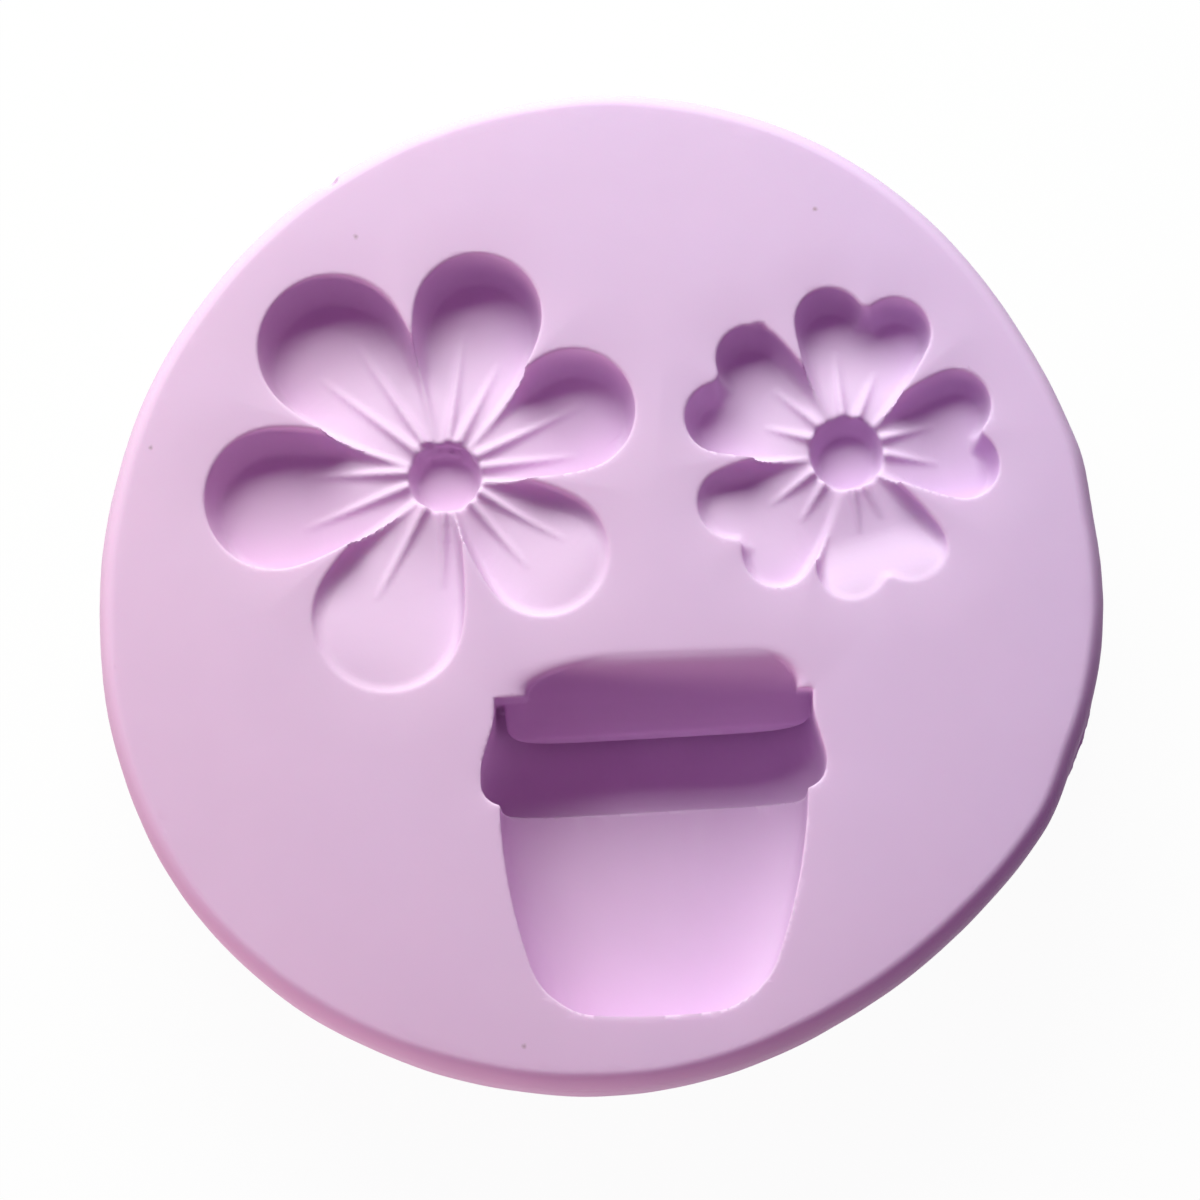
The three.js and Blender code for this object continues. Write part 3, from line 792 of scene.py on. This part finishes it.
@dataclass
class SiliconeMould:
    """The casting: a pressed lump with two flowers and a flower pot sunk in its face."""

    name: str = "silicone_casting"
    node: str = "mould_body"
    voxel: float = 0.165
    most_triangles: int = 190000
    margin: float = 0.6
    settlings: int = 2
    lump: Lump = field(default_factory=Lump)
    daisy: Flower = field(
        default_factory=lambda: Flower(
            x=-9.4, y=6.3, neck_width=2.2, eye_width=4.6, eye_depth=3.5, eye_ragged=1.1,
            petals=[
                Petal(78, 13.6, 7.8, 3.4, 0.6, 1.0, 0.9, 0.7, (Vein(83, 9.4), Vein(65, 8.0))),
                Petal(132, 14.7, 9.1, 3.4, 0.6, 1.0, 0.9, 0.7, (Vein(123, 10.4), Vein(141, 10.0))),
                Petal(190, 14.6, 8.7, 3.0, 0.65, 1.0, 0.9, 0.62, (Vein(180, 8.6), Vein(201, 9.2))),
                Petal(250, 14.3, 9.1, 1.65, 0.8, 0.24, 0.8, 0.36, (Vein(243, 9.0), Vein(270, 7.2))),
                Petal(320, 11.9, 7.8, 1.75, 0.8, 0.26, 0.8, 0.4, (Vein(330, 8.6), Vein(311, 8.0))),
                Petal(25, 12.4, 7.5, 2.8, 0.7, 1.0, 0.9, 0.62, (Vein(28, 9.6), Vein(9, 8.2))),
            ],
        )
    )
    blossom: NotchedFlower = field(
        default_factory=lambda: NotchedFlower(
            x=15.0, y=7.7, neck_width=2.0, eye_width=4.6, eye_depth=3.2,
            petals=[
                Petal(82, 9.9, 5.0, 2.6, 0.6, 1.0, 0.8, 0.7, (Vein(95, 6.4), Vein(69, 5.4))),
                Petal(152, 10.0, 5.0, 2.5, 0.6, 1.0, 0.8, 0.7, (Vein(138, 5.9), Vein(163, 5.2))),
                Petal(222, 9.9, 5.0, 2.0, 0.7, 0.5, 0.8, 0.5, (Vein(216, 5.8), Vein(238, 5.3))),
                Petal(287, 9.5, 5.0, 1.6, 0.8, 0.2, 0.7, 0.55, (Vein(279, 5.3), Vein(297, 4.8))),
                Petal(7, 9.3, 5.0, 2.4, 0.65, 1.0, 0.8, 0.62, (Vein(17, 5.8), Vein(353, 5.8))),
            ],
        )
    )
    pot: FlowerPot = field(default_factory=FlowerPot)
    pits: tuple[Pit, ...] = (Pit(9.75, 14.75, 0.55, 0.8), Pit(-16.6, 24.6, 0.7, 2.5))
    pit_lip: float = 0.25
    lip: float = 0.22
    sharp_edge: float = 60.0
    sag: Sag = field(default_factory=lambda: Sag(0.13, 3.6))

    def tree(self) -> bpy.types.GeometryNodeTree:
        """Makes the node tree that casts the mould from a distance field.

        Returns:
            A tree with the named inputs of GeometryInput and a mesh as its output.
        """
        group = bpy.data.node_groups.new("mould_casting", "GeometryNodeTree")
        for name, kind in (choice.value for choice in GeometryInput):
            group.interface.new_socket(name, in_out="INPUT", socket_type=kind)
        group.interface.new_socket("Geometry", in_out="OUTPUT", socket_type="NodeSocketGeometry")
        tree = Tree(group)
        given = tree.add("NodeGroupInput")
        sizes = {choice: given.beside(choice.value[0]) for choice in GeometryInput}
        distance = self.field(tree, sizes)
        cast = self.solidify(tree, distance, sizes)
        for _ in range(self.settlings):
            step = {0: tree.add("GeometryNodeInputNormal"), "Scale": distance * -MM}
            offset = tree.add("ShaderNodeVectorMath", {"operation": "SCALE"}, step)
            cast = tree.add("GeometryNodeSetPosition", None, {"Geometry": cast, "Offset": offset})
        cast = tree.add("GeometryNodeSetShadeSmooth", None, {"Geometry": cast})
        cast = tree.add("GeometryNodeRealizeInstances", None, {"Geometry": cast})
        finish = sizes[GeometryInput.FINISH]
        cast = tree.add("GeometryNodeSetMaterial", None, {"Geometry": cast, "Material": finish})
        out = group.nodes.new("NodeGroupOutput")
        tree.feed(out.inputs["Geometry"], cast)
        return group

    def field(self, tree: Tree, sizes: dict[GeometryInput, Wire]) -> Wire:
        """Distance to the finished casting: the lump less its hollows, with soft lips.

        Args:
            tree: The tree that the nodes go to.
            sizes: The tree's named inputs.

        Returns:
            The distance in millimetres, below nought inside the silicone.
        """
        place = tree.add("GeometryNodeInputPosition")
        at = tree.math("MULTIPLY", place, PER_MM)
        parts = tree.add("ShaderNodeSeparateXYZ", None, {0: at})
        below = sizes[GeometryInput.THICKNESS] - parts.beside("Z")
        spot = Spot(parts.beside("X"), parts.beside("Y"), below, at)
        lump = self.lump.surface(tree, spot, sizes[GeometryInput.RADIUS], sizes[GeometryInput.THICKNESS])
        rules = PetalRules()
        flowers = tree.least(self.daisy.hollow(tree, spot, rules), self.blossom.hollow(tree, spot, rules))
        lump = self.sag.towards(tree, lump, flowers)
        solid = self.pot.carve(tree, spot, tree.greatest(lump, -flowers, self.lip))
        for pit in self.pits:
            solid = tree.greatest(solid, -pit.hollow(tree, spot), self.pit_lip)
        return solid

    def solidify(self, tree: Tree, distance: Wire, sizes: dict[GeometryInput, Wire]) -> Wire:
        """Fills a block of voxels with the field and takes the surface where it is nought."""
        radius, thickness, voxel = (
            sizes[choice] for choice in (GeometryInput.RADIUS, GeometryInput.THICKNESS, GeometryInput.VOXEL)
        )
        reach = radius + self.lump.ledge_reach + self.margin
        across = tree.math("CEIL", 2 * reach / voxel)
        tall = tree.math("CEIL", (thickness + 2 * self.margin) / voxel)
        near, far, top = reach * -MM, reach * MM, (thickness + self.margin) * MM
        low = tree.add("ShaderNodeCombineXYZ", None, {"X": near, "Y": near, "Z": -self.margin * MM})
        high = tree.add("ShaderNodeCombineXYZ", None, {"X": far, "Y": far, "Z": top})
        block = tree.add(
            "GeometryNodeVolumeCube",
            None,
            {
                "Density": -distance, "Background": -1.0, "Min": low, "Max": high,
                "Resolution X": across, "Resolution Y": across, "Resolution Z": tall,
            },
        )
        return tree.add("GeometryNodeVolumeToMesh", None, {"Volume": block, "Threshold": 0.0})

    def build(self, finish: SiliconeFinish) -> bpy.types.Object:
        """Casts the mould, dresses it and hands it to the frame.

        Args:
            finish: The silicone's finish.

        Returns:
            The finished piece.
        """
        group = self.tree()
        maker = bpy.data.objects.new("casting_maker", bpy.data.meshes.new("casting_maker"))
        bpy.context.scene.collection.objects.link(maker)
        modifier = maker.modifiers.new("cast", "NODES")
        modifier.node_group = group
        values = {
            GeometryInput.RADIUS: self.lump.radius,
            GeometryInput.THICKNESS: self.lump.thickness,
            GeometryInput.VOXEL: self.voxel,
            GeometryInput.FINISH: finish.material(),
        }
        for item in group.interface.items_tree:
            for choice, value in values.items():
                if item.in_out == "INPUT" and item.name == choice.value[0]:
                    modifier[item.identifier] = value
        mesh = self.evaluated(maker)
        bpy.data.objects.remove(maker)
        piece = bpy.data.objects.new(self.name, mesh)
        bpy.context.scene.collection.objects.link(piece)
        self.thin_out(piece)
        while piece.data.materials[0] is None:
            piece.data.materials.pop(index=0)
        piece.data.name = self.name
        piece.data.set_sharp_from_angle(angle=math.radians(self.sharp_edge))
        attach(piece, "root")
        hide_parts(self.node)
        return piece

    def thin_out(self, piece: bpy.types.Object) -> None:
        """Merges triangles where the surface is nearly flat, down to the most that a piece may have."""
        triangles = sum(len(face.vertices) - 2 for face in piece.data.polygons)
        if triangles > self.most_triangles:
            piece.modifiers.new("thin", "DECIMATE").ratio = self.most_triangles / triangles
            thinned = self.evaluated(piece)
            piece.modifiers.clear()
            piece.data = thinned
        log.info("%s: %d triangles cast, %d faces kept", self.name, triangles, len(piece.data.polygons))

    @staticmethod
    def evaluated(maker: bpy.types.Object) -> bpy.types.Mesh:
        """A plain mesh of an object with its modifiers."""
        graph = bpy.context.evaluated_depsgraph_get()
        return bpy.data.meshes.new_from_object(maker.evaluated_get(graph), depsgraph=graph)


@dataclass(frozen=True)
class SoftBox:
    """A soft lamp: the direction it stands in, its sides in millimetres, its power and its colour."""

    name: str
    towards: tuple[float, float, float]
    width: float
    height: float
    watts: float
    colour: Colour


@dataclass
class Studio:
    """Camera, soft lights and white floor."""

    camera_distance: float = 300.0
    camera_elevation: float = 80.0
    target_height: float = 6.0
    lens: float = 146.15
    sensor: float = 36.0
    slide_right: float = 0.08
    slide_up: float = -0.597
    floor_side: float = 4000.0
    floor_white: float = 0.96
    floor_grey: float = 0.8
    floor_bounce: float = 0.25
    lamp_distance: float = 400.0
    lamps: tuple[SoftBox, ...] = (
        SoftBox("key", (-0.22, 0.85, 0.61), 320, 250, 2.76, (0.91, 1.09, 0.89)),
        SoftBox("edge", (-0.65, -0.75, 0.05), 400, 60, 1.1, (1.05, 0.84, 0.78)),
    )
    sky_colour: Colour = (1.0, 0.38, 1.0)
    sky_strength: float = 0.18

    def build(self) -> None:
        """Sets up everything that isn't part of the object."""
        self.camera()
        self.floor()
        self.lights()
        self.world()
        bpy.context.scene.view_settings.view_transform = "Standard"

    def camera(self) -> None:
        """Puts the camera where the photograph was taken from."""
        rise = math.radians(self.camera_elevation)
        up = Vector((0, math.sin(rise), math.cos(rise)))
        away = Vector((0, -math.cos(rise), math.sin(rise)))
        target = Vector((self.slide_right, 0, self.target_height)) + up * self.slide_up
        data = bpy.data.cameras.new("camera")
        data.lens = self.lens
        data.sensor_width = self.sensor
        data.clip_start = 0.01
        camera = bpy.data.objects.new("camera", data)
        camera.location = (target + away * self.camera_distance) * MM
        camera.rotation_euler = (math.pi / 2 - rise, 0, 0)
        bpy.context.scene.collection.objects.link(camera)
        bpy.context.scene.camera = camera

    def floor(self) -> None:
        """Lays a white floor that keeps the object's shadow."""
        half = self.floor_side / 2 * MM
        mesh = bpy.data.meshes.new("floor")
        corners = [(-half, -half, 0), (half, -half, 0), (half, half, 0), (-half, half, 0)]
        mesh.from_pydata(corners, [], [(0, 1, 2, 3)])
        floor = bpy.data.objects.new("floor", mesh)
        bpy.context.scene.collection.objects.link(floor)
        material = bpy.data.materials.new("white_floor")
        material.use_nodes = True
        material.node_tree.nodes.clear()
        tree = Tree(material.node_tree)
        path = self.seen(tree)
        grey = self.floor_bounce + (self.floor_grey - self.floor_bounce) * path
        plain = tree.add("ShaderNodeBsdfDiffuse", None, {"Color": grey})
        glow = tree.add("ShaderNodeEmission", None, {"Color": (1, 1, 1, 1), "Strength": 1.0})
        shader = tree.add("ShaderNodeMixShader", None, {0: path * self.floor_white, 1: plain, 2: glow})
        tree.add("ShaderNodeOutputMaterial", None, {"Surface": shader})
        mesh.materials.append(material)

    @staticmethod
    def seen(tree: Tree) -> Wire:
        """1 for a ray from the camera, from a reflection or through glass, else 0."""
        path = tree.add("ShaderNodeLightPath", output="Is Camera Ray")
        shown = tree.greatest(path, path.beside("Is Glossy Ray"))
        return tree.greatest(shown, path.beside("Is Transmission Ray"))

    def lights(self) -> None:
        """Hangs the lamps."""
        for box in self.lamps:
            self.hang(box)

    def hang(self, box: SoftBox) -> None:
        """Adds one soft lamp aimed at the object."""
        data = bpy.data.lights.new(box.name, "AREA")
        data.shape = "RECTANGLE"
        data.size, data.size_y = box.width * MM, box.height * MM
        data.energy = box.watts
        data.color = box.colour
        direction = Vector(box.towards).normalized()
        lamp = bpy.data.objects.new(box.name, data)
        lamp.location = direction * self.lamp_distance * MM
        lamp.rotation_euler = direction.to_track_quat("Z", "Y").to_euler()
        bpy.context.scene.collection.objects.link(lamp)

    def world(self) -> None:
        """Gives an even sky, white behind the object."""
        world = bpy.data.worlds.new("studio")
        world.use_nodes = True
        world.node_tree.nodes.clear()
        tree = Tree(world.node_tree)
        path = self.seen(tree)
        tint = (*self.sky_colour, 1.0)
        sky = tree.add("ShaderNodeBackground", None, {"Color": tint, "Strength": self.sky_strength})
        white = tree.add("ShaderNodeBackground", None, {"Color": (1, 1, 1, 1), "Strength": 1.0})
        both = tree.add("ShaderNodeMixShader", None, {0: path, 1: sky, 2: white})
        tree.add("ShaderNodeOutputWorld", None, {"Surface": both})
        bpy.context.scene.world = world


def main() -> None:
    """Builds the studio and the mould."""
    Studio().build()
    piece = SiliconeMould().build(SiliconeFinish())
    log.info("built %s", piece.name)


if __name__ == "__main__":
    main()
